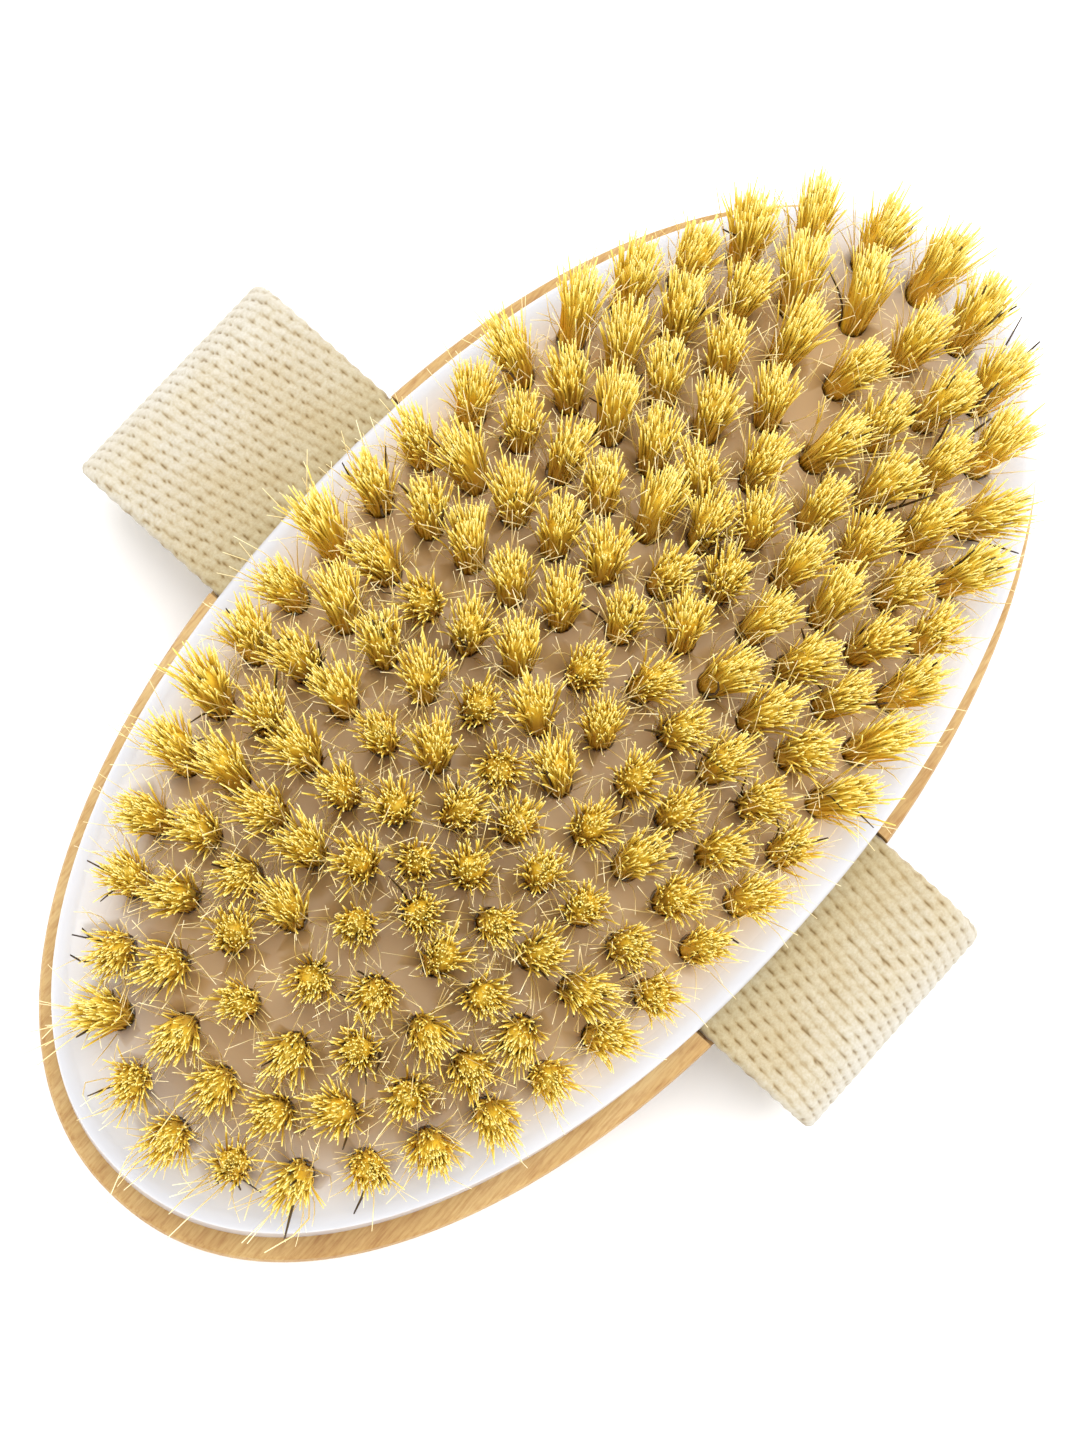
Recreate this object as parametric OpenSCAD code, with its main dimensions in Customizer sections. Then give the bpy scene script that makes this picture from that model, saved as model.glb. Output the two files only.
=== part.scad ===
// Oval body dry brush: wooden back, plastic bristle plate, natural bristle tufts and a webbing hand strap.
// It lies bristles up on its strap, as it is put down after use. +Z is up, X runs along the brush.
// The origin is the middle of the face that it rests on, which is the underside of the strap.

/* [Body] */
// Length of the wooden back
body_len = 134; // [120:1:150]
// Width of the wooden back
body_wid = 72; // [66:1:80]
// Squareness of the oval outline, where 2 is a true ellipse
body_square = 2.12; // [2:0.02:2.4]
// Thickness of the wooden back
wood_th = 12; // [10:0.5:16]
// Width of the bevel around the top edge of the wood
rim_bevel = 0.7; // [0.3:0.1:1.2]

/* [Bristle plate] */
// Width of the wooden rim that shows around the plate
rim_show = 2.0; // [1.5:0.1:4]
// Height of the plate at its edge
plate_h = 9; // [8:0.5:11]
// Extra height of the plate in its middle
plate_crown = 1.5; // [0.5:0.1:3]
// Angle that the plate's outline is set off square to the wood, a small misfit of the real one
plate_turn = -1; // [-2:0.1:2]

/* [Tufts] */
// Distance from the plate's edge to the outer ring of tufts
ring_inset = 6.7; // [6:0.1:8]
// Step between rings along the brush
ring_step_x = 6.85; // [6.6:0.05:7]
// Step between rings across the brush
ring_step_y = 5.43; // [5.3:0.01:5.5]
// Distance between tufts along a ring
tuft_pitch = 6.65; // [6.6:0.05:7]
// Radius of a tuft where it leaves the plate
tuft_r = 1.5; // [1.2:0.1:1.7]
// Radius of a tuft at its tips
tip_r = 2.5; // [1.8:0.05:2.6]
// Length of bristle above the plate
tuft_free = 16; // [10:0.5:20]
// Depth of a tuft's hole in the plate
hole_depth = 6; // [5:0.5:7]
// Outward lean of the tufts at the plate's edge, in degrees
tuft_lean = 7; // [0:0.5:9]

/* [Hand strap] */
// Width of the webbing
strap_wid = 28; // [24:1:32]
// Thickness of the webbing
strap_th = 1.8; // [1.4:0.1:2.2]
// Reach of the loop beyond the middle of the brush on the +Y side
loop_left = 55.9; // [50:0.1:60]
// Reach of the loop beyond the middle of the brush on the -Y side
loop_right = 49.6; // [48:0.1:56]
// Depth of the fold at each end of the loop, measured along Y
fold_depth = 6; // [5:0.5:9]
// Clear height under the wood for the hand, as the brush lies
hand_gap = 8.2; // [6:0.1:14]
// Angle that the strap is set off square to the brush
strap_skew = -0.9; // [-2:0.1:2]
// How far the soft loop's lower run has drifted along the brush
strap_drift = 3.4; // [0:0.1:4]

/* [Hidden] */
$fn = 48;

wood_color = [0.90, 0.74, 0.52];
plate_color = [0.93, 0.91, 0.87];
strap_color = [0.97, 0.94, 0.85];
bristle_color = [0.88, 0.72, 0.36];
steel_color = [0.72, 0.72, 0.70];

half_len = body_len / 2;
half_wid = body_wid / 2;
wood_z = strap_th + hand_gap;
rim_z = wood_z + wood_th;
plate_a = half_len - rim_show;
plate_b = half_wid - rim_show;
sheet_th = 0.1;
wood_points = 90;
plate_points = 72;

// Each layer of a turned or moulded edge: [inset from the outline, height]
wood_layers = [
    [9.0, 0], [5.2, 0.9], [2.4, 2.6], [0.8, 5.2], [0, 8.4],
    [0, wood_th - rim_bevel], [rim_bevel, wood_th - sheet_th]
];
plate_layers = [
    [0, 0], [0.2, plate_h - 1.8], [0.6, plate_h - 0.8], [1.4, plate_h - 0.2], [2.6, plate_h],
    [20, plate_h + plate_crown - sheet_th]
];

// Rings of tufts, from the outside in, then the row along the middle
ring_total = 5;
row_count = 8;
row_pitch = 6.4;
// Each ring in from the outside is a little squarer, which leaves room for its end tufts
ring_square_step = 0.1;
arc_steps = 180;

// The strap's rebate in the wood and its fixing
strap_play = 0.35;
tail_start = 15;
staple_y = 21;
staple_gap = 11;
staple_wid = 8;
wire_r = 0.45;
leg_len = 7;
bend_r = rim_z / 2;

// The flat metal anchor that each tuft is folded around
anchor_wid = 3.8;
anchor_th = 0.4;
anchor_h = 1.8;
anchor_lift = 0.9;
hole_play = 0.05;

function power(v, e) = sign(v) * pow(abs(v), e);
function oval_point(a, b, square, t) = [
    a * power(cos(t), 2 / square),
    b * power(sin(t), 2 / square)
];

function ring_point(i, t) = oval_point(
    plate_a - ring_inset - (i - 1) * ring_step_x,
    plate_b - ring_inset - (i - 1) * ring_step_y,
    body_square + (i - 1) * ring_square_step,
    t
);

// Length run along ring i up to each of arc_steps + 1 angles, as [length, angle]
function arc_table(i) = [
    for (
        k = 0, run = 0;
        k <= arc_steps;
        run = run + norm(ring_point(i, (k + 1) * 360 / arc_steps) - ring_point(i, k * 360 / arc_steps)),
        k = k + 1
    ) [run, k * 360 / arc_steps]
];

// Tuft positions, evenly spaced along ring i, where every second ring is set half a step on
function ring_spots(i) =
    let (
        table = arc_table(i),
        around = table[arc_steps][0],
        count = round(around / tuft_pitch),
        step = around / count,
        shift = i % 2 == 0 ? step / 2 : 0
    )
    [for (k = [0 : count - 1]) ring_point(i, lookup(shift + k * step, table))];

function row_spots() = [for (k = [0 : row_count - 1]) [(k - (row_count - 1) / 2) * row_pitch, 0]];
function spots(i) = i > ring_total ? row_spots() : ring_spots(i);

// Height of the plate's crowned top at a spot
function plate_top(p) =
    rim_z + plate_h + plate_crown * (1 - pow(p[0] / plate_a, 2) - pow(p[1] / plate_b, 2)) * 0.9;

// Carries its children to a tuft's spot, with their Z along the leaning tuft
module at_tuft(p) {
    lean = [tuft_lean * p[0] / plate_a, tuft_lean * p[1] / plate_b];
    translate([p[0], p[1], plate_top(p)])
        rotate([0, 0, atan2(p[1] / plate_b, p[0] / plate_a)])
            rotate([0, norm(lean), 0])
                children();
}

module oval_sheet(a, b, points) {
    linear_extrude(sheet_th)
        polygon([for (k = [0 : points - 1]) oval_point(a, b, body_square, k * 360 / points)]);
}

module oval_stack(a, b, layers, points) {
    hull()
        for (layer = layers)
            translate([0, 0, layer[1]])
                oval_sheet(a - layer[0], b - layer[0], points);
}

module wood_back() {
    color(wood_color)
        difference() {
            translate([0, 0, wood_z])
                oval_stack(half_len, half_wid, wood_layers, wood_points);
            for (side = [1, -1]) {
                strap_rebate(side);
                on_staples(side)
                    staple_legs();
            }
        }
}

module strap_rebate(side) {
    rotate([0, 0, strap_skew])
        translate([
            -strap_wid / 2 - strap_play,
            side > 0 ? tail_start - strap_play : -half_wid - 10,
            rim_z - strap_th
        ])
            cube([strap_wid + 2 * strap_play, half_wid + 10 - tail_start + strap_play, strap_th + 1]);
}

module bristle_plate() {
    color(plate_color)
        difference() {
            translate([0, 0, rim_z])
                rotate([0, 0, plate_turn])
                    oval_stack(plate_a, plate_b, plate_layers, plate_points);
            for (i = [1 : ring_total + 1])
                for (p = spots(i))
                    at_tuft(p) {
                        translate([0, 0, -hole_depth])
                            cylinder(r = tuft_r + hole_play, h = hole_depth + 3);
                        anchor();
                    }
        }
}

module anchor() {
    translate([-anchor_th / 2, -anchor_wid / 2, anchor_lift - hole_depth])
        cube([anchor_th, anchor_wid, anchor_h]);
}

module tuft() {
    difference() {
        union() {
            translate([0, 0, -hole_depth])
                cylinder(r = tuft_r, h = hole_depth + 0.5);
            translate([0, 0, 0.5])
                cylinder(r1 = tuft_r, r2 = tip_r, h = tuft_free - 0.5);
        }
        anchor();
    }
}

module tuft_ring(i) {
    color(bristle_color)
        for (p = spots(i))
            at_tuft(p)
                tuft();
}

module anchor_ring(i) {
    color(steel_color)
        for (p = spots(i))
            at_tuft(p)
                anchor();
}

// Where the loop's bend is centred, out from the middle of the brush
function bend_y(side) = (side > 0 ? loop_left : loop_right) - fold_depth;

// Runs its children on the strap's own lines, mirrored to the side asked for
module on_strap(side) {
    rotate([0, 0, strap_skew])
        mirror([0, side > 0 ? 0 : 1, 0])
            children();
}

module strap_tail(side) {
    color(strap_color)
        difference() {
            on_strap(side)
                translate([-strap_wid / 2, tail_start, rim_z - strap_th])
                    cube([strap_wid, half_wid - tail_start, strap_th]);
            staple_wires(side);
        }
}

module strap_bend(side) {
    color(strap_color)
        on_strap(side)
            drifted()
                translate([-strap_wid / 2, 0, 0])
                    rotate([90, 0, 90])
                        linear_extrude(strap_wid)
                            bend_profile(side);
}

// Slants its children along X, from nothing at the rim to the full drift at the lower run
module drifted() {
    multmatrix([
        [1, 0, -strap_drift / rim_z, strap_drift],
        [0, 1, 0, 0],
        [0, 0, 1, 0],
        [0, 0, 0, 1]
    ])
        children();
}

module bend_profile(side) {
    translate([half_wid, rim_z - strap_th])
        square([bend_y(side) - half_wid, strap_th]);
    translate([bend_y(side), bend_r])
        difference() {
            scale([fold_depth / bend_r, 1])
                circle(r = bend_r);
            scale([(fold_depth - strap_th) / (bend_r - strap_th), 1])
                circle(r = bend_r - strap_th);
            translate([-2 * bend_r, -2 * bend_r])
                square([2 * bend_r, 4 * bend_r]);
        }
}

module strap_lower_run() {
    color(strap_color)
        rotate([0, 0, strap_skew])
            translate([strap_drift - strap_wid / 2, -bend_y(-1), 0])
                cube([strap_wid, bend_y(-1) + bend_y(1), strap_th]);
}

// Two wire staples hold each end of the strap down into the wood
module on_staples(side) {
    on_strap(side)
        for (x = [-staple_gap / 2, staple_gap / 2])
            translate([x, staple_y, rim_z - wire_r])
                children();
}

module staple_legs() {
    for (end = [-staple_wid / 2, staple_wid / 2])
        translate([end, 0, -leg_len])
            cylinder(r = wire_r, h = leg_len);
}

module staple_wires(side) {
    on_staples(side) {
        rotate([0, 90, 0])
            cylinder(r = wire_r, h = staple_wid, center = true);
        for (end = [-staple_wid / 2, staple_wid / 2])
            translate([end, 0, 0])
                sphere(r = wire_r);
        staple_legs();
    }
}

module staples(side) {
    color(steel_color)
        staple_wires(side);
}

wood_back();
bristle_plate();
strap_tail(1);  // strap_tail_left
strap_tail(-1);  // strap_tail_right
strap_bend(1);  // strap_bend_left
strap_bend(-1);  // strap_bend_right
strap_lower_run();
staples(1);  // staples_left
staples(-1);  // staples_right
tuft_ring(1);  // tuft_ring_1
tuft_ring(2);  // tuft_ring_2
tuft_ring(3);  // tuft_ring_3
tuft_ring(4);  // tuft_ring_4
tuft_ring(5);  // tuft_ring_5
tuft_ring(6);  // tuft_centre_row
anchor_ring(1);  // anchor_ring_1
anchor_ring(2);  // anchor_ring_2
anchor_ring(3);  // anchor_ring_3
anchor_ring(4);  // anchor_ring_4
anchor_ring(5);  // anchor_ring_5
anchor_ring(6);  // anchor_centre_row
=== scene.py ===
"""The looks of the oval body dry brush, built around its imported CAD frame.

Everything is in metres in the frame's own axes: X along the brush, Y across it, Z up to the bristle tips.
The wood, the plate, the strap and each ring of bristles are detailed pieces that stand for their CAD nodes.
"""
import math

import bpy
import numpy as np
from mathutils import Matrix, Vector
from mathutils.geometry import delaunay_2d_cdt


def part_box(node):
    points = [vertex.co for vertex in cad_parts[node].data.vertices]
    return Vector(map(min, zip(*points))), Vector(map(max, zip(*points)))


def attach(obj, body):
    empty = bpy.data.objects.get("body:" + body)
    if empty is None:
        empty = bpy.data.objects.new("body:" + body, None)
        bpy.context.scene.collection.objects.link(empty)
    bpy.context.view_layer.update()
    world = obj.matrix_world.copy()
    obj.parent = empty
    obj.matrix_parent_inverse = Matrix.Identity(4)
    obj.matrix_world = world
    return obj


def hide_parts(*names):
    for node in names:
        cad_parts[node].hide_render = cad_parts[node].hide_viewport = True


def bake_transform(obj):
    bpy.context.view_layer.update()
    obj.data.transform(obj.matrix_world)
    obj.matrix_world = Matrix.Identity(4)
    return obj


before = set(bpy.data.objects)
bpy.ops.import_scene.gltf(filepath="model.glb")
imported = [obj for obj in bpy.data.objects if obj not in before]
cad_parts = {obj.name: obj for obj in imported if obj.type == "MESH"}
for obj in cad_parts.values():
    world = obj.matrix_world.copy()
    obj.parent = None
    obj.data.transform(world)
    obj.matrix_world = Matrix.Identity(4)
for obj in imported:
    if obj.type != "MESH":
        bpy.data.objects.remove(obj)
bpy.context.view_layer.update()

MM = 0.001

# ---------------------------------------------------------------- sizes

wood_low, wood_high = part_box("wood_back")
plate_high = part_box("bristle_plate")[1]
HALF_LEN, HALF_WID = wood_high.x, wood_high.y
WOOD_Z, RIM_Z = wood_low.z, wood_high.z
PLATE_A, PLATE_B = plate_high.x, plate_high.y
SQUARE = 2.12
RIM_BEVEL = 0.7 * MM

CROWN = 1.5 * MM
PLATE_EDGE_Z = plate_high.z - CROWN
PLATE_ROUND = 1.9 * MM
PLATE_LEAN = 0.2 * MM
PLATE_TURN = math.radians(-1)

RINGS = 5
RING_INSET = 6.7 * MM
RING_STEP_X, RING_STEP_Y = 6.85 * MM, 5.43 * MM
RING_SQUARE_STEP = 0.1
TUFT_PITCH = 6.65 * MM
ROW_COUNT, ROW_PITCH = 8, 6.4 * MM
TUFT_LEAN = math.radians(7)
TUFT_FREE = 16 * MM
TUFT_R = 1.4 * MM
HOLE_R = 1.55 * MM
HOLE_SHOWN = 1.2 * MM
RING_NAMES = [f"ring_{i}" for i in range(1, RINGS + 1)] + ["centre_row"]

STRAP_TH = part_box("strap_lower_run")[1].z
STRAP_SKEW = math.radians(-0.9)
STRAP_WID = 28 * MM
STRAP_PLAY = 0.35 * MM
TAIL_START = 15 * MM
FOLD_DEPTH = 6 * MM
STRAP_DRIFT = 3.4 * MM
REACH_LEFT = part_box("strap_bend_left")[1].y - 0.2 * MM
REACH_RIGHT = -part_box("strap_bend_right")[0].y - 0.2 * MM


# ---------------------------------------------------------------- mesh helpers

OVAL_STEPS = 721


def full_turn(count):
    """count angles evenly spaced round a full turn."""
    return np.arange(count) * 2 * math.pi / count


def signed_power(v, e):
    return np.sign(v) * np.abs(v) ** e


def oval(a, b, square, angles):
    """Points of the squared oval at these angles, as rows of x and y."""
    return np.stack([
        a * signed_power(np.cos(angles), 2 / square),
        b * signed_power(np.sin(angles), 2 / square),
    ], axis=-1)


def circle(count, across, other):
    """Points of the circle of radius 1 that these two directions span."""
    turn = full_turn(count)
    return np.outer(np.cos(turn), across) + np.outer(np.sin(turn), other)


def run_along(line):
    """The distance along a line of points to each of them."""
    return np.concatenate([[0], np.cumsum(np.linalg.norm(np.diff(line, axis=0), axis=1))])


def spread_along(a, b, square, pitch, shift):
    """Points spaced evenly along an oval, about pitch apart, the first shift steps on from its +X end."""
    angles = np.linspace(0, 2 * math.pi, OVAL_STEPS)
    run = run_along(oval(a, b, square, angles))
    count = round(run[-1] / pitch)
    wanted = (np.arange(count) + shift) * run[-1] / count
    return oval(a, b, square, np.interp(wanted, run, angles))


def turned(points, angle):
    """Rows of x, y, ... turned about Z."""
    c, s = math.cos(angle), math.sin(angle)
    out = np.array(points, float)
    out[:, 0] = points[:, 0] * c - points[:, 1] * s
    out[:, 1] = points[:, 0] * s + points[:, 1] * c
    return out


def new_piece(name, points, faces, smooth=True):
    mesh = bpy.data.meshes.new(name)
    mesh.from_pydata(np.asarray(points).tolist(), [], faces)
    mesh.polygons.foreach_set("use_smooth", [smooth] * len(mesh.polygons))
    mesh.update()
    piece = bpy.data.objects.new(name, mesh)
    bpy.context.scene.collection.objects.link(piece)
    return piece


def new_piece_from_arrays(name, points, quads, triangles):
    """As new_piece, but fast enough for the bristles' many faces."""
    mesh = bpy.data.meshes.new(name)
    corners = np.concatenate([quads.ravel(), triangles.ravel()]).astype(np.int32)
    sizes = np.concatenate([np.full(len(quads), 4), np.full(len(triangles), 3)])
    starts = np.concatenate([[0], np.cumsum(sizes)[:-1]]).astype(np.int32)
    mesh.vertices.add(len(points))
    mesh.vertices.foreach_set("co", points.astype(np.float32).ravel())
    mesh.loops.add(len(corners))
    mesh.loops.foreach_set("vertex_index", corners)
    mesh.polygons.add(len(sizes))
    mesh.polygons.foreach_set("loop_start", starts)
    mesh.polygons.foreach_set("use_smooth", [True] * len(sizes))
    mesh.update(calc_edges=True)
    mesh.validate()
    piece = bpy.data.objects.new(name, mesh)
    bpy.context.scene.collection.objects.link(piece)
    return piece


def loft_faces(rings, around):
    """Quads between rings of the same number of points, the first ring lowest on the outside."""
    faces = []
    for r in range(rings - 1):
        low, high = r * around, (r + 1) * around
        for k in range(around):
            n = (k + 1) % around
            faces.append((low + k, low + n, high + n, high + k))
    return faces


def add_values(piece, name, values):
    """Gives each point of the mesh a value that its material reads."""
    layer = piece.data.attributes.new(name, "FLOAT", "POINT")
    layer.data.foreach_set("value", np.asarray(values, np.float32))


def apply_modifiers(piece):
    graph = bpy.context.evaluated_depsgraph_get()
    made = bpy.data.meshes.new_from_object(piece.evaluated_get(graph))
    piece.modifiers.clear()
    piece.data = made


def mark_sharp_edges(piece, degrees):
    piece.data.polygons.foreach_set("use_smooth", [True] * len(piece.data.polygons))
    piece.data.set_sharp_from_angle(angle=math.radians(degrees))


def finish_piece(piece, materials, body, nodes):
    """Gives a piece its materials, the body it rides on unless that is None, and the nodes it stands for."""
    for material in materials:
        piece.data.materials.append(material)
    if body:
        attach(piece, body)
    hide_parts(*nodes)


# ---------------------------------------------------------------- material helpers

# The sockets of a Mix node that mixes colours, which share their names with those for numbers.
MIX_FACTOR, MIX_A, MIX_B, MIX_RESULT = 0, 6, 7, 2


def srgb(r, g, b):
    """A colour given as 0 to 255 on a screen, as Blender's linear value."""
    def linear(v):
        v /= 255
        return v / 12.92 if v <= 0.04045 else ((v + 0.055) / 1.055) ** 2.4
    return (linear(r), linear(g), linear(b), 1.0)


WHITE = srgb(255, 255, 255)


def colour_of(node):
    """The colour that a ramp or a Mix node gives."""
    return node.outputs[MIX_RESULT if node.bl_idname == "ShaderNodeMix" else "Color"]


class Look:
    """A material with its node tree, and short ways to add nodes to it."""

    def __init__(self, name):
        self.material = bpy.data.materials.new(name)
        self.material.use_nodes = True
        self.tree = self.material.node_tree
        self.tree.nodes.clear()
        self.shader = self.add("ShaderNodeBsdfPrincipled")
        output = self.add("ShaderNodeOutputMaterial")
        self.join(self.shader, "BSDF", output, "Surface")

    def add(self, kind, **inputs):
        node = self.tree.nodes.new(kind)
        for key, value in inputs.items():
            node.inputs[key].default_value = value
        return node

    def join(self, a, out, b, into):
        self.tree.links.new(a.outputs[out], b.inputs[into])

    def set(self, **values):
        """Sets the shader's own sockets, with _ for each space in a socket's name."""
        for key, value in values.items():
            self.shader.inputs[key.replace("_", " ")].default_value = value

    def place(self, scale):
        """The object's own coordinates, multiplied by scale."""
        coordinates = self.add("ShaderNodeTexCoord")
        mapping = self.add("ShaderNodeMapping", Scale=scale)
        self.join(coordinates, "Object", mapping, "Vector")
        return mapping

    def noise(self, vector, scale=1.0, detail=4.0, roughness=0.55, distortion=0.0):
        node = self.add("ShaderNodeTexNoise", Scale=scale, Detail=detail, Roughness=roughness,
                        Distortion=distortion)
        self.join(vector, "Vector", node, "Vector")
        return node

    def value(self, name):
        """The values that add_values gave the mesh under this name."""
        node = self.add("ShaderNodeAttribute")
        node.attribute_name = name
        return node

    def ramp(self, source, stops):
        """Colours for the numbers that a noise or a value gives."""
        node = self.add("ShaderNodeValToRGB")
        elements = node.color_ramp.elements
        while len(elements) < len(stops):
            elements.new(0.5)
        for element, (at, colour) in zip(elements, stops):
            element.position = at
            element.color = colour
        self.join(source, "Fac", node, "Fac")
        return node

    def mix(self, kind, factor, a, b):
        """The colours of two nodes, mixed by a number or by a node's values."""
        node = self.add("ShaderNodeMix")
        node.data_type = "RGBA"
        node.blend_type = kind
        if isinstance(factor, float):
            node.inputs[MIX_FACTOR].default_value = factor
        else:
            self.join(factor, "Fac", node, MIX_FACTOR)
        self.tree.links.new(colour_of(a), node.inputs[MIX_A])
        self.tree.links.new(colour_of(b), node.inputs[MIX_B])
        return node

    def colour(self, node):
        self.tree.links.new(colour_of(node), self.shader.inputs["Base Color"])

    def bump(self, source, distance, strength):
        node = self.add("ShaderNodeBump", Strength=strength, Distance=distance)
        self.join(source, "Fac", node, "Height")
        self.join(node, "Normal", self.shader, "Normal")

    def roughness_between(self, source, low, high):
        node = self.add("ShaderNodeMapRange")
        node.inputs["To Min"].default_value = low
        node.inputs["To Max"].default_value = high
        self.join(source, "Fac", node, "Value")
        self.join(node, "Result", self.shader, "Roughness")


# ---------------------------------------------------------------- materials

def wood_look():
    """Pale wood, with its grain along X."""
    look = Look("beech")
    bands = look.noise(look.place((10, 120, 120)), detail=3, distortion=0.6)
    fibres = look.noise(look.place((260, 3600, 3600)), detail=5, roughness=0.65)
    flecks = look.noise(look.place((500, 1700, 1700)), detail=3)
    base = look.ramp(bands, [
        (0.30, srgb(172, 137, 83)), (0.50, srgb(185, 154, 100)), (0.70, srgb(197, 171, 122))])
    streaks = look.ramp(fibres, [(0.30, srgb(205, 170, 130)), (0.55, srgb(246, 238, 226)), (0.80, WHITE)])
    dots = look.ramp(flecks, [(0.32, srgb(190, 140, 92)), (0.50, WHITE)])
    grain = look.mix("MULTIPLY", 0.75, base, streaks)
    look.colour(look.mix("MULTIPLY", 0.3, grain, dots))
    look.bump(fibres, 0.05 * MM, 0.6)
    look.roughness_between(bands, 0.48, 0.62)
    look.set(Specular_IOR_Level=0.35)
    return look.material


def plate_look():
    """Glossy white plastic, duller amid the tufts, where a painted shade and painted bounce light from the
    bristles tint it warmer.
    """
    look = Look("milky_plastic")
    cloud = look.noise(look.place((60, 60, 60)), detail=2)
    skin = look.noise(look.place((900, 900, 900)), detail=3)
    tint = look.ramp(cloud, [(0.3, srgb(182, 182, 186)), (0.7, srgb(190, 189, 192))])
    # Painted shade and painted bounce light: the plate amid the tufts is tinted warm beige, as if the
    # bristles shaded it and threw golden light on it.
    tuft_shade_and_bounce = look.ramp(cloud, [(0.3, srgb(190, 158, 110)), (0.7, srgb(202, 173, 128))])
    amid = look.value("amid")
    look.colour(look.mix("MIX", amid, tint, tuft_shade_and_bounce))
    look.bump(skin, 0.02 * MM, 0.35)
    look.roughness_between(amid, 0.22, 0.42)
    look.set(Subsurface_Weight=0.25, Subsurface_Scale=1.5 * MM, Specular_IOR_Level=0.4)
    look.set(Subsurface_Radius=(1.0, 0.9, 0.8))
    return look.material


def webbing_look():
    """Undyed cotton, fuzzy, with a painted shade darkening the crevices between its grains and a painted
    shade tinting it yellower near the body of the brush.
    """
    look = Look("cotton_webbing")
    where = look.add("ShaderNodeCombineXYZ")
    look.join(look.value("across_mm"), "Fac", where, "X")
    look.join(look.value("along_mm"), "Fac", where, "Y")
    fuzz = look.noise(where, scale=2.4, detail=5, roughness=0.75)
    patches = look.noise(where, scale=0.12, detail=2)
    # Painted shade: the yarn's own pale colour, darkened down to brown where the relief is low, in the
    # crevices between the grains.
    yarn_and_crevice_shade = look.ramp(look.value("relief"), [
        (0.0, srgb(126, 108, 80)), (0.3, srgb(168, 156, 132)), (0.6, srgb(187, 182, 168)),
        (1.0, srgb(194, 191, 183))])
    fade = look.ramp(patches, [(0.3, srgb(246, 238, 220)), (0.7, WHITE)])
    spun = look.ramp(fuzz, [(0.25, srgb(222, 208, 182)), (0.6, WHITE)])
    # Painted shade: a tan tint near the brush's body stands in for the shade that the body casts on the
    # webbing.
    body_shade_tint = look.ramp(look.value("painted_body_shade"), [(0.0, WHITE), (1.0, srgb(240, 228, 196))])
    tone = look.mix("MULTIPLY", 0.8, yarn_and_crevice_shade, fade)
    painted_body_shade = look.mix("MULTIPLY", 1.0, tone, body_shade_tint)
    look.colour(look.mix("MULTIPLY", 0.8, painted_body_shade, spun))
    look.bump(fuzz, 0.18 * MM, 0.8)
    look.set(Roughness=0.9, Specular_IOR_Level=0.15, Sheen_Weight=0.35, Sheen_Roughness=0.5)
    return look.material


# Colours from a bristle's root to its tip, and the tones that single bristles take.
GOLD = [(0.0, srgb(254, 208, 56)), (0.35, srgb(254, 216, 68)), (0.65, srgb(251, 224, 88)),
        (0.88, srgb(245, 228, 118)), (1.0, srgb(244, 234, 158))]
GOLD_TONES = [(0.0, srgb(248, 230, 184)), (0.4, srgb(252, 245, 224)), (1.0, WHITE)]
DARK = [(0.0, srgb(52, 34, 18)), (1.0, srgb(66, 48, 32))]
DARK_TONES = [(0.0, srgb(190, 180, 170)), (1.0, WHITE)]
PALE = [(0.0, srgb(250, 222, 128)), (1.0, srgb(252, 243, 208))]
PALE_TONES = [(0.0, srgb(246, 236, 210)), (1.0, WHITE)]
BRISTLE_SHEEN = srgb(255, 226, 100)


def bristle_look(name, stops, tones, roughness, sheen):
    """Colour runs along each bristle from its root to its tip, and each bristle has a tone of its own."""
    look = Look(name)
    length = look.ramp(look.value("along"), stops)
    own = look.ramp(look.value("tone"), tones)
    look.colour(look.mix("MULTIPLY", 1.0, length, own))
    look.set(Roughness=roughness, Specular_IOR_Level=0.4)
    look.set(Sheen_Weight=sheen, Sheen_Roughness=0.4, Sheen_Tint=BRISTLE_SHEEN)
    return look.material


def steel_look():
    look = Look("bright_wire")
    marks = look.noise(look.place((2500, 2500, 400)), detail=4)
    look.colour(look.ramp(marks, [(0.3, srgb(150, 150, 148)), (0.7, srgb(196, 196, 192))]))
    look.roughness_between(marks, 0.25, 0.45)
    look.set(Metallic=1.0)
    return look.material


def floor_look():
    look = Look("pale_floor")
    look.set(Base_Color=srgb(250, 250, 250), Roughness=0.9, Specular_IOR_Level=0.1)
    return look.material


# ---------------------------------------------------------------- wood

WOOD_AROUND = 192
WOOD_DOME = 9.0 * MM
WOOD_SIDE_FROM = 8.4 * MM
DOME_STEPS = 12
FLAT_SHARES = (0.25, 0.5, 0.75, 0.92)
CUT_OUT, CUT_UP = 10 * MM, 3 * MM


def wood_profile():
    """(inset, height) up the side of the wood, from its domed underside to the top of the bevel."""
    turn = np.linspace(0, math.pi / 2, DOME_STEPS)
    curve = [(WOOD_DOME * (1 - math.sin(t)), WOOD_SIDE_FROM * (1 - math.cos(t))) for t in turn]
    top = RIM_Z - WOOD_Z
    straight = [(0, top - 2.2 * RIM_BEVEL), (0, top - RIM_BEVEL)]
    bevel = [(0.3 * RIM_BEVEL, top - 0.3 * RIM_BEVEL), (RIM_BEVEL, top)]
    return curve + straight + bevel


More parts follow.
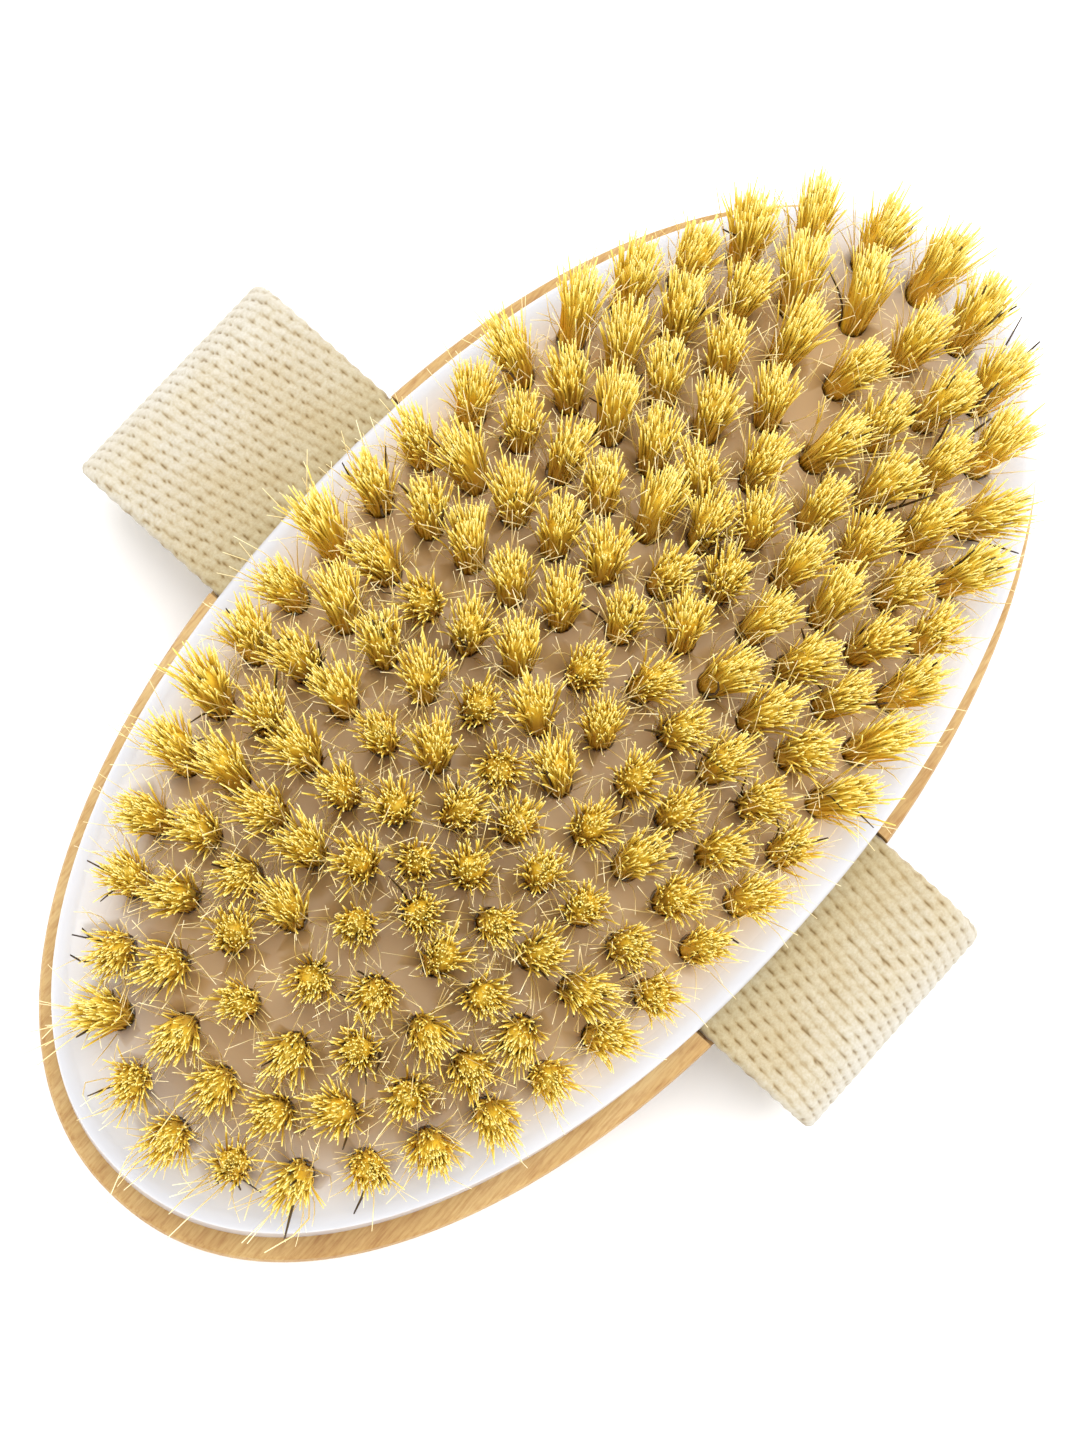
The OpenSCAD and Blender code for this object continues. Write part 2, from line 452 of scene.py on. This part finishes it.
def add_wood(material):
    angles = full_turn(WOOD_AROUND)
    rings = []
    for share in FLAT_SHARES:
        rings.append((oval(HALF_LEN - WOOD_DOME, HALF_WID - WOOD_DOME, SQUARE, angles) * share, WOOD_Z))
    for inset, height in wood_profile():
        rings.append((oval(HALF_LEN - inset, HALF_WID - inset, SQUARE, angles), WOOD_Z + height))
    points = np.vstack([np.column_stack([line, np.full(WOOD_AROUND, z)]) for line, z in rings])
    faces = loft_faces(len(rings), WOOD_AROUND)
    faces.append(tuple(range(WOOD_AROUND))[::-1])
    faces.append(tuple(range(len(points) - WOOD_AROUND, len(points))))
    wood = new_piece("wood_body", points, faces)
    for side in (1, -1):
        cut_rebate(wood, side)
    mark_sharp_edges(wood, 40)
    finish_piece(wood, [material], "root", ["wood_back"])


def cut_rebate(wood, side):
    """The shallow recess across the wood's rim that lets the strap lie flush."""
    x = STRAP_WID / 2 + STRAP_PLAY
    near, far = TAIL_START - STRAP_PLAY, HALF_WID + CUT_OUT
    low, high = RIM_Z - STRAP_TH, RIM_Z + CUT_UP
    plan = ((-x, near), (x, near), (x, far), (-x, far))
    corners = np.array([(px, side * py, pz) for pz in (low, high) for px, py in plan])
    faces = [(0, 3, 2, 1), (4, 5, 6, 7), (0, 1, 5, 4), (1, 2, 6, 5), (2, 3, 7, 6), (3, 0, 4, 7)]
    if side < 0:
        faces = [face[::-1] for face in faces]
    cutter = new_piece("rebate_cutter", turned(corners, STRAP_SKEW), faces, smooth=False)
    cut = wood.modifiers.new("rebate", "BOOLEAN")
    cut.object = cutter
    cut.solver = "EXACT"
    apply_modifiers(wood)
    bpy.data.objects.remove(cutter)


# ---------------------------------------------------------------- tuft places

def ring_spots(i):
    """Where the tufts of ring i stand, evenly spaced, with every second ring set half a step on."""
    a = PLATE_A - RING_INSET - (i - 1) * RING_STEP_X
    b = PLATE_B - RING_INSET - (i - 1) * RING_STEP_Y
    square = SQUARE + (i - 1) * RING_SQUARE_STEP
    return spread_along(a, b, square, TUFT_PITCH, 0.5 if i % 2 == 0 else 0.0)


def row_spots():
    x = (np.arange(ROW_COUNT) - (ROW_COUNT - 1) / 2) * ROW_PITCH
    return np.column_stack([x, np.zeros(ROW_COUNT)])


SPOTS = [ring_spots(i) for i in range(1, RINGS + 1)] + [row_spots()]


def plate_z(x, y):
    """Height of the plate's crowned top."""
    out = (x / PLATE_A) ** 2 + (y / PLATE_B) ** 2
    return PLATE_EDGE_Z + CROWN * np.clip(1 - out, 0, 1)


def tuft_frame(spot):
    """A tuft's root on the plate, its axis, and two directions across it."""
    x, y = spot
    lean = Vector((TUFT_LEAN * x / PLATE_A, TUFT_LEAN * y / PLATE_B, 1)).normalized()
    across = lean.cross(Vector((0, 1, 0))).normalized()
    return np.array((x, y, plate_z(x, y))), np.array(lean), np.array(across), np.array(lean.cross(across))


# ---------------------------------------------------------------- plate

PLATE_AROUND = 192
EDGE_STEPS = 9
GRID_STEP = 2.4 * MM
SAME_POINT = 1e-9
RIM_LIMIT = 1.002
HOLE_SIDES = 16
MOUTH_WIDE = 1.08
# (width, depth) down each hole from its mouth, the width as a share of the hole's radius.
HOLE_WALL = ((1.02, 0.12 * MM), (1.0, 0.35 * MM), (1.0, HOLE_SHOWN))
# Where the plate's middle, with its painted tuft shade and bounce light and its duller finish, ends and how
# wide its fade is, as shares of the way out squared.
AMID_END, AMID_FADE = 0.92, 0.3


def plate_edge_profile():
    """(inset, height) from the plate's foot up over its rounded edge."""
    rise = PLATE_EDGE_Z - RIM_Z
    straight = rise - PLATE_ROUND
    turn = np.linspace(0, math.pi / 2, EDGE_STEPS)[1:]
    side = [(0, 0), (0.4 * PLATE_LEAN, 0.4 * straight), (PLATE_LEAN, straight)]
    edge = [(PLATE_LEAN + PLATE_ROUND * (1 - math.cos(t)), rise - PLATE_ROUND * (1 - math.sin(t)))
            for t in turn]
    return side + edge


def hole_mouth(spot):
    """A hole's middle on the plate's top, its axis, and the ring of points round its mouth."""
    root, axis, across, other = tuft_frame(spot)
    mouth = root + MOUTH_WIDE * HOLE_R * circle(HOLE_SIDES, across, other)
    mouth[:, 2] = plate_z(mouth[:, 0], mouth[:, 1])
    return root, axis, mouth


def crown_grid(rim, spots):
    """Points in staggered rows over the plate's top, clear of its rim and of the tuft holes."""
    xs = np.arange(-PLATE_A, PLATE_A, GRID_STEP)
    ys = np.arange(-PLATE_B, PLATE_B, GRID_STEP)
    grid = np.array([(x + (j % 2) * GRID_STEP / 2, y) for j, y in enumerate(ys) for x in xs])
    a, b = np.abs(rim).max(axis=0) - GRID_STEP / 2
    inside = np.abs(grid[:, 0] / a) ** SQUARE + np.abs(grid[:, 1] / b) ** SQUARE < 1
    nearest = np.linalg.norm(grid[:, None] - spots[None], axis=2).min(axis=1)
    return grid[inside & (nearest > HOLE_R + GRID_STEP / 2)]


def crown_triangles(rim, holes):
    """Points and triangles of the plate's top seen from above, open within each hole's mouth."""
    spots = np.array([root[:2] for root, _, _ in holes])
    loops = [rim] + [mouth[:, :2] for _, _, mouth in holes]
    edges, start = [], 0
    for loop in loops:
        edges += [(start + k, start + (k + 1) % len(loop)) for k in range(len(loop))]
        start += len(loop)
    points = np.vstack(loops + [crown_grid(rim, spots)])
    flat, _, triangles, origins, _, _ = delaunay_2d_cdt(
        [Vector(p) for p in points.tolist()], edges, [], 0, SAME_POINT)
    came_from = {k: came[0] for k, came in enumerate(origins) if came}
    a, b = np.abs(rim).max(axis=0)
    kept = []
    for triangle in triangles:
        middle = sum((np.array(flat[k]) for k in triangle), np.zeros(2)) / 3
        in_hole = np.linalg.norm(spots - middle, axis=1).min() < HOLE_R
        in_rim = (abs(middle[0]) / a) ** SQUARE + (abs(middle[1]) / b) ** SQUARE < RIM_LIMIT
        if in_rim and not in_hole:
            kept.append(tuple(came_from[k] for k in triangle))
    return points, kept


def sink_holes(points, faces, holes, first_mouth):
    """Adds each hole's soft mouth, wall and floor to faces, and returns the points with theirs."""
    rows = [points]
    total = len(points)
    for number, (root, axis, mouth) in enumerate(holes):
        above = first_mouth + number * HOLE_SIDES
        for wide, deep in HOLE_WALL:
            rows.append(root + (mouth - root) * wide / MOUTH_WIDE - axis * deep)
            for k in range(HOLE_SIDES):
                n = (k + 1) % HOLE_SIDES
                faces.append((above + k, above + n, total + n, total + k))
            above = total
            total += HOLE_SIDES
        faces.append(tuple(range(above, above + HOLE_SIDES)))
    return np.vstack(rows)


def add_plate(material):
    angles = full_turn(PLATE_AROUND)
    rings = []
    for inset, height in plate_edge_profile():
        line = turned(oval(PLATE_A - inset, PLATE_B - inset, SQUARE, angles), PLATE_TURN)
        rings.append(np.column_stack([line, np.full(PLATE_AROUND, RIM_Z + height)]))
    faces = loft_faces(len(rings), PLATE_AROUND)
    faces.append(tuple(range(PLATE_AROUND))[::-1])

    holes = [hole_mouth(spot) for spot in np.vstack(SPOTS)]
    top, triangles = crown_triangles(rings[-1][:, :2], holes)
    first = (len(rings) - 1) * PLATE_AROUND
    faces += [tuple(first + k for k in triangle) for triangle in triangles]
    crown = top[PLATE_AROUND:]
    points = np.vstack(rings + [np.column_stack([crown, plate_z(crown[:, 0], crown[:, 1])])])
    points = sink_holes(points, faces, holes, first + PLATE_AROUND)

    plate = new_piece("moulded_plate", points, faces)
    out = (points[:, 0] / PLATE_A) ** 2 + (points[:, 1] / PLATE_B) ** 2
    on_top = points[:, 2] > PLATE_EDGE_Z - 1 * MM
    # amid is 1 in the plate's middle, where its colour gets the painted tuft shade and bounce light and its
    # finish is duller.
    add_values(plate, "amid", np.clip((AMID_END - out) / AMID_FADE, 0, 1) * on_top)
    mark_sharp_edges(plate, 30)
    finish_piece(plate, [material], "root", ["bristle_plate"])


# ---------------------------------------------------------------- bristles

GOLD_SLOT, DARK_SLOT, PALE_SLOT = 0, 1, 2
FIRST_SEED = 100

# Every bristle is a thin tube.
SIDES = 3
STRAND_RINGS = 5
STRAND_TAPER = (0.8, 0.95, 1.0, 0.95, 0.6)
STRAND_UNEVEN = (0.75, 1.2)
ROOT_DEPTH = 1.6 * MM
EVEN_OUT = 0.6
FLARE_CURVE = 1.7
TIP_SET = np.array((-0.7 * MM, 0.0, 0.0))

# The bristles that make a tuft's body.
STRANDS = 144
STRAND_R = 0.115 * MM
TUFT_WANDER = 0.045
TUFT_FULLNESS = (0.7, 1.3)
TIP_SPREAD = 1.78
BODY_FLARE = (0.0, 0.6, 2.2)
BODY_WANDER, BODY_BOW = 0.45 * MM, 0.15 * MM
BODY_TALL, BODY_DOME, BODY_UNEVEN = 1.09, 0.16, 0.07

# Thin bristles that stand off on all sides of it.
STRAYS = 28
STRAY_R = 0.055 * MM
STRAY_FLARE, STRAY_REACH = 1.6 * MM, 5.0 * MM
STRAY_LENGTH = (0.55, 1.02)
STRAY_BOW = 0.7 * MM

# The dark bristles of some tufts.
DARK_SHARE, DARK_IN_BODY, DARK_MOST = 0.6, 0.6, 3
DARK_R = 0.155 * MM
DARK_REACH = 3.2 * MM

# Long bristles that hang out over the brush's -X end.
ESCAPED = 4
ESCAPED_BEYOND = -50 * MM
ESCAPED_R = 0.085 * MM
ESCAPED_FLARE, ESCAPED_REACH = 4 * MM, 8 * MM
ESCAPED_LENGTH = (0.6, 1.0)
ESCAPED_WANDER, ESCAPED_BOW = 1.5 * MM, 1.2 * MM

# The inner bristles of a tuft, as one fluted bundle: heights as shares of the tuft's, and radii.
HEART_SIDES = 12
HEART_UP = (0.25, 0.5, 0.66, 0.77)
HEART_WIDE = (1.28 * MM, 1.3 * MM, 1.35 * MM, 1.25 * MM, 0.6 * MM)
HEART_FLUTES = (0.84, 1.12)
HEART_FADE = 0.72


def tube_points(path, radii, across, other):
    """Rings of points round many centre lines. radii is count x rings x sides."""
    ring = circle(radii.shape[2], across, other)
    return (path[:, :, None, :] + radii[..., None] * ring[None, None]).reshape(-1, 3)


def tube_faces(count, sides):
    """Corner indices of count closed tubes, as quads for their sides and triangles for their ends."""
    ring, side = np.meshgrid(np.arange(STRAND_RINGS - 1), np.arange(sides), indexing="ij")
    ring, side = ring.ravel() * sides, side.ravel()
    after = (side + 1) % sides
    quads = np.column_stack([ring + side, ring + after, ring + sides + after, ring + sides + side])
    last = (STRAND_RINGS - 1) * sides
    ends = [(0, k + 1, k) for k in range(1, sides - 1)]
    ends += [(last, last + k, last + k + 1) for k in range(1, sides - 1)]
    start = np.arange(count)[:, None, None] * STRAND_RINGS * sides
    return (quads[None] + start).reshape(-1, 4), (np.array(ends)[None] + start).reshape(-1, 3)


def loose_frame(random, spot):
    """A tuft's frame with a little lean of its own, as no two tufts stand quite alike."""
    root, axis, across, other = tuft_frame(spot)
    tilt = random.normal(0, TUFT_WANDER, 2)
    axis = axis + tilt[0] * across + tilt[1] * other
    return root, axis / np.linalg.norm(axis), across, other


def tuft_groups(random, spot, fullness):
    """(count, radius, kind, reach, material slot) of each sort of bristle in a tuft."""
    groups = [
        (STRANDS, STRAND_R, "body", fullness * TUFT_R, GOLD_SLOT),
        (STRAYS, STRAY_R, "stray", STRAY_REACH, PALE_SLOT),
    ]
    if random.random() < DARK_SHARE:
        kind = "body" if random.random() < DARK_IN_BODY else "stray"
        groups.append((random.integers(1, DARK_MOST + 1), DARK_R, kind, DARK_REACH, DARK_SLOT))
    if spot[0] < ESCAPED_BEYOND:
        groups.append((ESCAPED, ESCAPED_R, "escaped", ESCAPED_REACH, PALE_SLOT))
    return groups


def strand_lines(random, frame_of, count, kind, reach):
    """Centre lines of some bristles of one tuft, from inside its hole to their tips."""
    root, axis, across, other = frame_of
    r = random.random(count) ** EVEN_OUT
    turn = random.random(count) * 2 * math.pi
    out = np.column_stack([np.cos(turn), np.sin(turn)])
    offset = TUFT_R * r[:, None] * out
    if kind == "escaped":
        away = np.array((root[0] * across[0], root[1] * other[1]))
        flare = away / np.linalg.norm(away) * random.uniform(ESCAPED_FLARE, reach, (count, 1))
        flare += random.normal(0, ESCAPED_WANDER, (count, 2))
        length = TUFT_FREE * random.uniform(*ESCAPED_LENGTH, count)
        bow = random.normal(0, ESCAPED_BOW, (count, 2))
    elif kind == "stray":
        flare = out * random.uniform(STRAY_FLARE, reach, (count, 1))
        length = TUFT_FREE * random.uniform(*STRAY_LENGTH, count)
        bow = random.normal(0, STRAY_BOW, (count, 2))
    else:
        flare = offset * (TIP_SPREAD - 1) * random.triangular(*BODY_FLARE, (count, 1)) * reach / TUFT_R
        flare += random.normal(0, BODY_WANDER, (count, 2))
        uneven = np.abs(random.normal(0, BODY_UNEVEN, count))
        length = TUFT_FREE * (BODY_TALL - BODY_DOME * r ** 2 - uneven)
        bow = random.normal(0, BODY_BOW, (count, 2))
    path = np.empty((count, STRAND_RINGS, 3))
    for k, t in enumerate(np.linspace(0, 1, STRAND_RINGS)):
        side = offset + flare * t ** FLARE_CURVE + bow * math.sin(math.pi * t)
        up = -ROOT_DEPTH + (length + ROOT_DEPTH) * t
        path[:, k] = root + np.outer(side[:, 0], across) + np.outer(side[:, 1], other) + np.outer(up, axis)
        path[:, k] += TIP_SET * t ** 2
    return path


def strand_points(random, frame_of, path, radius):
    """Points of the bristles on these centre lines, each a little thicker or thinner than radius."""
    own = radius * random.uniform(*STRAND_UNEVEN, (len(path), 1, 1))
    radii = own * np.array(STRAND_TAPER)[None, :, None] * np.ones((1, 1, SIDES))
    return tube_points(path, radii, frame_of[2], frame_of[3])


def heart_points(random, frame_of):
    """Points of a tuft's inner bundle, which its loose bristles hide."""
    root, axis, across, other = frame_of
    up = np.concatenate([[-ROOT_DEPTH], np.array(HEART_UP) * TUFT_FREE])
    share = np.clip(up / TUFT_FREE, 0, 1)
    path = root + np.outer(up, axis) + np.outer(share ** 2, TIP_SET)
    radii = np.array(HEART_WIDE)[:, None] * random.uniform(*HEART_FLUTES, (STRAND_RINGS, HEART_SIDES))
    return tube_points(path[None], radii[None], across, other)


def add_tufts(number, materials):
    """One piece for each ring of tufts, made of its separate bristles and its tufts' inner bundles."""
    random = np.random.default_rng(FIRST_SEED + number)
    strands, hearts, tones, slots = [], [], [], []
    for spot in SPOTS[number]:
        frame_of = loose_frame(random, spot)
        hearts.append(heart_points(random, frame_of))
        fullness = random.uniform(*TUFT_FULLNESS)
        for count, radius, kind, reach, slot in tuft_groups(random, spot, fullness):
            path = strand_lines(random, frame_of, count, kind, reach)
            strands.append(strand_points(random, frame_of, path, radius))
            tones.append(random.random(count))
            slots += [slot] * count
    count, tufts = len(slots), len(hearts)
    quads, ends = tube_faces(count, SIDES)
    heart_quads, heart_ends = tube_faces(tufts, HEART_SIDES)
    first = count * STRAND_RINGS * SIDES
    piece = new_piece_from_arrays(
        "bristles_" + RING_NAMES[number], np.vstack(strands + hearts),
        np.vstack([quads, heart_quads + first]), np.vstack([ends, heart_ends + first]))

    along = np.linspace(0, 1, STRAND_RINGS)
    add_values(piece, "along", np.concatenate([
        np.tile(np.repeat(along, SIDES), count),
        np.tile(np.repeat(along * HEART_FADE, HEART_SIDES), tufts)]))
    add_values(piece, "tone", np.concatenate([
        np.repeat(np.concatenate(tones), STRAND_RINGS * SIDES),
        random.random(tufts * STRAND_RINGS * HEART_SIDES)]))
    finish_piece(piece, materials, "root", ["tuft_" + RING_NAMES[number]])
    slots = np.array(slots, np.int32)
    piece.data.polygons.foreach_set("material_index", np.concatenate([
        np.repeat(slots, len(quads) // count), np.full(len(heart_quads), GOLD_SLOT, np.int32),
        np.repeat(slots, len(ends) // count), np.full(len(heart_ends), GOLD_SLOT, np.int32)]))


# ---------------------------------------------------------------- strap

STRAP_COLUMNS, STRAP_ROWS = 100, 470
FOLD_STEPS = 80
RELIEF = 0.32 * MM
EDGE_ROUND, EDGE_THIN = 0.8 * MM, 0.55
EDGE_WAVE, EDGE_WAVE_POWER = 0.08 * MM, 12
# Under the plate the webbing is pressed smooth, from TAIL_SMOOTH inside its edge over TAIL_FADE.
TAIL_SMOOTH, TAIL_FADE, SMOOTH_TONE = 1 * MM, 1.5 * MM, 0.7
# Painted shade cast by the brush's body: the webbing is tinted yellower near the wood, and the tint fades to
# the webbing's own colour at the first distance below past the wood.
BODY_SHADE_OUT, BODY_SHADE_FADE = 13 * MM, 14 * MM

# The weave is rows of yarn, each a chain of grains. The rows' slant drifts from one end to the other.
YARN_PITCH, GRAIN_LEN = 1.25 * MM, 1.9 * MM
SLANT_LEFT, SLANT_RIGHT = 0.31, -0.19
# In shares of a pitch or a length: a grain's lean, half its width and length, and how far it strays.
GRAIN_SLANT = 0.22
GRAIN_HALF_WIDE, GRAIN_HALF_LONG, GRAIN_BLUNT = 0.51, 0.72, 2.6
ROW_STRAYS, GRAIN_STRAYS_ALONG, GRAIN_STRAYS_ASIDE = 0.12, 0.16, 0.10
GRAIN_LEAST, GRAIN_DOME = 0.85, 0.55
BACK_SEED = 11


def strap_line(rows):
    """The middle line of the webbing's thickness in Y and Z, with its outward normals, evenly spaced."""
    mid = STRAP_TH / 2
    deep, high = FOLD_DEPTH - mid, RIM_Z / 2 - mid
    turn = np.linspace(0, math.pi, FOLD_STEPS)
    line = [(TAIL_START, RIM_Z - mid)]
    line += [(REACH_LEFT - FOLD_DEPTH + deep * math.sin(t), mid + high * (1 + math.cos(t))) for t in turn]
    line += [(-REACH_RIGHT + FOLD_DEPTH - deep * math.sin(t), mid + high * (1 - math.cos(t))) for t in turn]
    line += [(-TAIL_START, RIM_Z - mid)]
    line = np.array(line)
    run = run_along(line)
    at = np.linspace(0, run[-1], rows)
    even = np.column_stack([np.interp(at, run, line[:, 0]), np.interp(at, run, line[:, 1])])
    ahead = np.gradient(even, axis=0)
    ahead /= np.linalg.norm(ahead, axis=1)[:, None]
    return even, np.column_stack([-ahead[:, 1], ahead[:, 0]]), at


def scatter(a, b, seed):
    """A fixed pseudo-random value from 0 to 1 for each pair of whole numbers."""
    return np.mod(np.sin(a * 12.9898 + b * 78.233 + seed) * 43758.5453, 1)


def weave(across, along, seed):
    """Height from 0 to 1 of the weave's grains, at these places on the webbing."""
    # Half of the drift here, so that the rows' direction itself goes from one slant to the other.
    slope = SLANT_LEFT + (SLANT_RIGHT - SLANT_LEFT) * along / (2 * along.max())
    beside = (across + slope * along) / YARN_PITCH
    ahead = (along - slope * across) / GRAIN_LEN
    height = np.zeros(across.shape)
    for step in (0, 1):
        row = np.floor(beside) + step
        shift = ahead + 0.5 * np.mod(row, 2) + ROW_STRAYS * (scatter(row, 0, seed) - 0.5)
        for lean in (0, 1):
            grain = np.floor(shift) + lean
            far = shift - grain + GRAIN_STRAYS_ALONG * (scatter(row, grain, seed + 3) - 0.5)
            aside = GRAIN_STRAYS_ASIDE * (scatter(row, grain, seed + 7) - 0.5)
            off = beside - row + GRAIN_SLANT * far + aside
            size = GRAIN_LEAST + (1 - GRAIN_LEAST) * scatter(row, grain, seed + 5)
            q = (off / GRAIN_HALF_WIDE) ** 2 + np.abs(far / GRAIN_HALF_LONG) ** GRAIN_BLUNT
            height = np.maximum(height, size * np.clip(1 - q, 0, 1) ** GRAIN_DOME)
    return height


def strap_faces():
    """Quads of the webbing's two faces and two edges, and one face over each of its cut ends."""
    wide, half = STRAP_COLUMNS + 1, STRAP_ROWS * (STRAP_COLUMNS + 1)
    faces = []
    for r in range(STRAP_ROWS - 1):
        for c in range(STRAP_COLUMNS):
            k = r * wide + c
            faces.append((k, k + 1, k + wide + 1, k + wide))
            k += half
            faces.append((k, k + wide, k + wide + 1, k + 1))
        k = r * wide
        faces.append((k, k + wide, k + wide + half, k + half))
        k = r * wide + STRAP_COLUMNS
        faces.append((k, k + half, k + wide + half, k + wide))
    first, last = range(wide), range((STRAP_ROWS - 1) * wide, STRAP_ROWS * wide)
    faces.append(tuple(first)[::-1] + tuple(k + half for k in first))
    faces.append(tuple(last) + tuple(k + half for k in last)[::-1])
    return faces


def on_both_faces(by_row):
    """A value for each row of the strap, repeated for every point of both its faces."""
    return np.tile(np.repeat(by_row, STRAP_COLUMNS + 1), 2)


def add_strap(material):
    line, normals, at = strap_line(STRAP_ROWS)
    u = np.linspace(-0.5, 0.5, STRAP_COLUMNS + 1)
    across = u[None, :] * STRAP_WID + np.zeros((STRAP_ROWS, 1))
    along = at[:, None] + np.zeros((1, STRAP_COLUMNS + 1))
    shown = np.clip((np.abs(line[:, 0]) - PLATE_B + TAIL_SMOOTH) / TAIL_FADE, 0, 1)
    shown[line[:, 1] < RIM_Z / 2] = 1
    front = weave(across, along, 0)
    back = weave(across + 0.5 * YARN_PITCH, along + 0.5 * GRAIN_LEN, BACK_SEED)

    edge = np.clip((0.5 - np.abs(u)) * STRAP_WID / EDGE_ROUND, 0, 1)[None, :]
    rounding = 1 - EDGE_THIN * (1 - edge) ** 2
    wave = EDGE_WAVE * np.sin(along / GRAIN_LEN * 2 * math.pi)
    wave = wave * np.abs(2 * across / STRAP_WID) ** EDGE_WAVE_POWER
    x = across + np.sign(across) * wave * shown[:, None]
    x = x + STRAP_DRIFT * (1 - line[:, 1] / RIM_Z)[:, None]
    faces = []
    for grains, outward in ((front, -1), (back, 1)):
        lift = STRAP_TH / 2 * rounding - RELIEF * (1 - grains) * shown[:, None]
        y = line[:, 0, None] + outward * normals[:, 0, None] * lift
        z = line[:, 1, None] + outward * normals[:, 1, None] * lift
        faces.append(np.stack([x, y, z], axis=-1).reshape(-1, 3))
    strap = new_piece("webbing_strap", turned(np.vstack(faces), STRAP_SKEW), strap_faces())

    add_values(strap, "across_mm", np.tile(across.reshape(-1), 2) / MM)
    add_values(strap, "along_mm", np.tile(along.reshape(-1), 2) / MM)
    relief = np.concatenate([front.reshape(-1), back.reshape(-1)])
    add_values(strap, "relief", np.maximum(relief, on_both_faces(1 - shown) * SMOOTH_TONE))
    # Painted shade: how strongly each row gets the tint for the brush body's shade, full at the wood and
    # fading outward.
    painted_body_shade = np.clip((HALF_WID + BODY_SHADE_OUT - np.abs(line[:, 0])) / BODY_SHADE_FADE, 0, 1)
    add_values(strap, "painted_body_shade", on_both_faces(painted_body_shade))
    finish_piece(strap, [material], None, [
        "strap_tail_left", "strap_bend_left", "strap_lower_run", "strap_bend_right", "strap_tail_right"])
    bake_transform(strap)


# ---------------------------------------------------------------- camera, light and floor

CAMERA_PLACE = (-68.65 * MM, -17.16 * MM, RIM_Z + 380 * MM)
# In degrees about X, Y and Z.
CAMERA_TURN = (9.343, -4.671, -49.002)
CAMERA_LENS, CAMERA_SENSOR = 92.18, 36
CAMERA_CLIP = (0.01, 20)
# (name, place, size across, power) of each soft light. All of them face the middle of the brush.
LIGHTS = [("key", (0.06, 0.06, 0.80), 0.45, 3.7), ("fill", (0.50, -0.30, 0.60), 0.6, 1.6)]
LIGHT_ALL_ROUND = 1.46
FLOOR_REACH = 3


def add_camera():
    data = bpy.data.cameras.new("camera")
    data.lens = CAMERA_LENS
    data.sensor_width = CAMERA_SENSOR
    data.clip_start, data.clip_end = CAMERA_CLIP
    camera = bpy.data.objects.new("camera", data)
    camera.location = CAMERA_PLACE
    camera.rotation_euler = [math.radians(angle) for angle in CAMERA_TURN]
    bpy.context.scene.collection.objects.link(camera)
    bpy.context.scene.camera = camera


def add_light(name, place, size, power):
    data = bpy.data.lights.new(name, "AREA")
    data.shape = "DISK"
    data.size = size
    data.energy = power
    light = bpy.data.objects.new(name, data)
    light.location = place
    light.rotation_euler = (Vector((0, 0, RIM_Z)) - Vector(place)).to_track_quat("-Z", "Y").to_euler()
    bpy.context.scene.collection.objects.link(light)


def add_studio():
    world = bpy.data.worlds.new("studio")
    world.use_nodes = True
    background = world.node_tree.nodes["Background"]
    background.inputs["Color"].default_value = (1, 1, 1, 1)
    background.inputs["Strength"].default_value = LIGHT_ALL_ROUND
    bpy.context.scene.world = world
    for light in LIGHTS:
        add_light(*light)
    corners = [(-FLOOR_REACH, -FLOOR_REACH, 0), (FLOOR_REACH, -FLOOR_REACH, 0),
               (FLOOR_REACH, FLOOR_REACH, 0), (-FLOOR_REACH, FLOOR_REACH, 0)]
    floor = new_piece("floor", corners, [(0, 1, 2, 3)])
    floor.data.materials.append(floor_look())
    bpy.context.scene.view_settings.view_transform = "Standard"


# ---------------------------------------------------------------- everything

def add_brush():
    add_wood(wood_look())
    add_plate(plate_look())
    add_strap(webbing_look())
    bristle_looks = [
        bristle_look("bristle_gold", GOLD, GOLD_TONES, 0.5, 0.5),
        bristle_look("bristle_dark", DARK, DARK_TONES, 0.4, 0.0),
        bristle_look("bristle_pale", PALE, PALE_TONES, 0.45, 0.5),
    ]
    for number in range(len(SPOTS)):
        add_tufts(number, bristle_looks)


def polish_wire():
    """Gives the CAD's own staples and anchors their bright wire."""
    steel = steel_look()
    for name in ["staples_left", "staples_right"] + ["anchor_" + ring for ring in RING_NAMES]:
        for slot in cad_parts[name].material_slots:
            slot.material = steel


add_camera()
add_studio()
add_brush()
polish_wire()
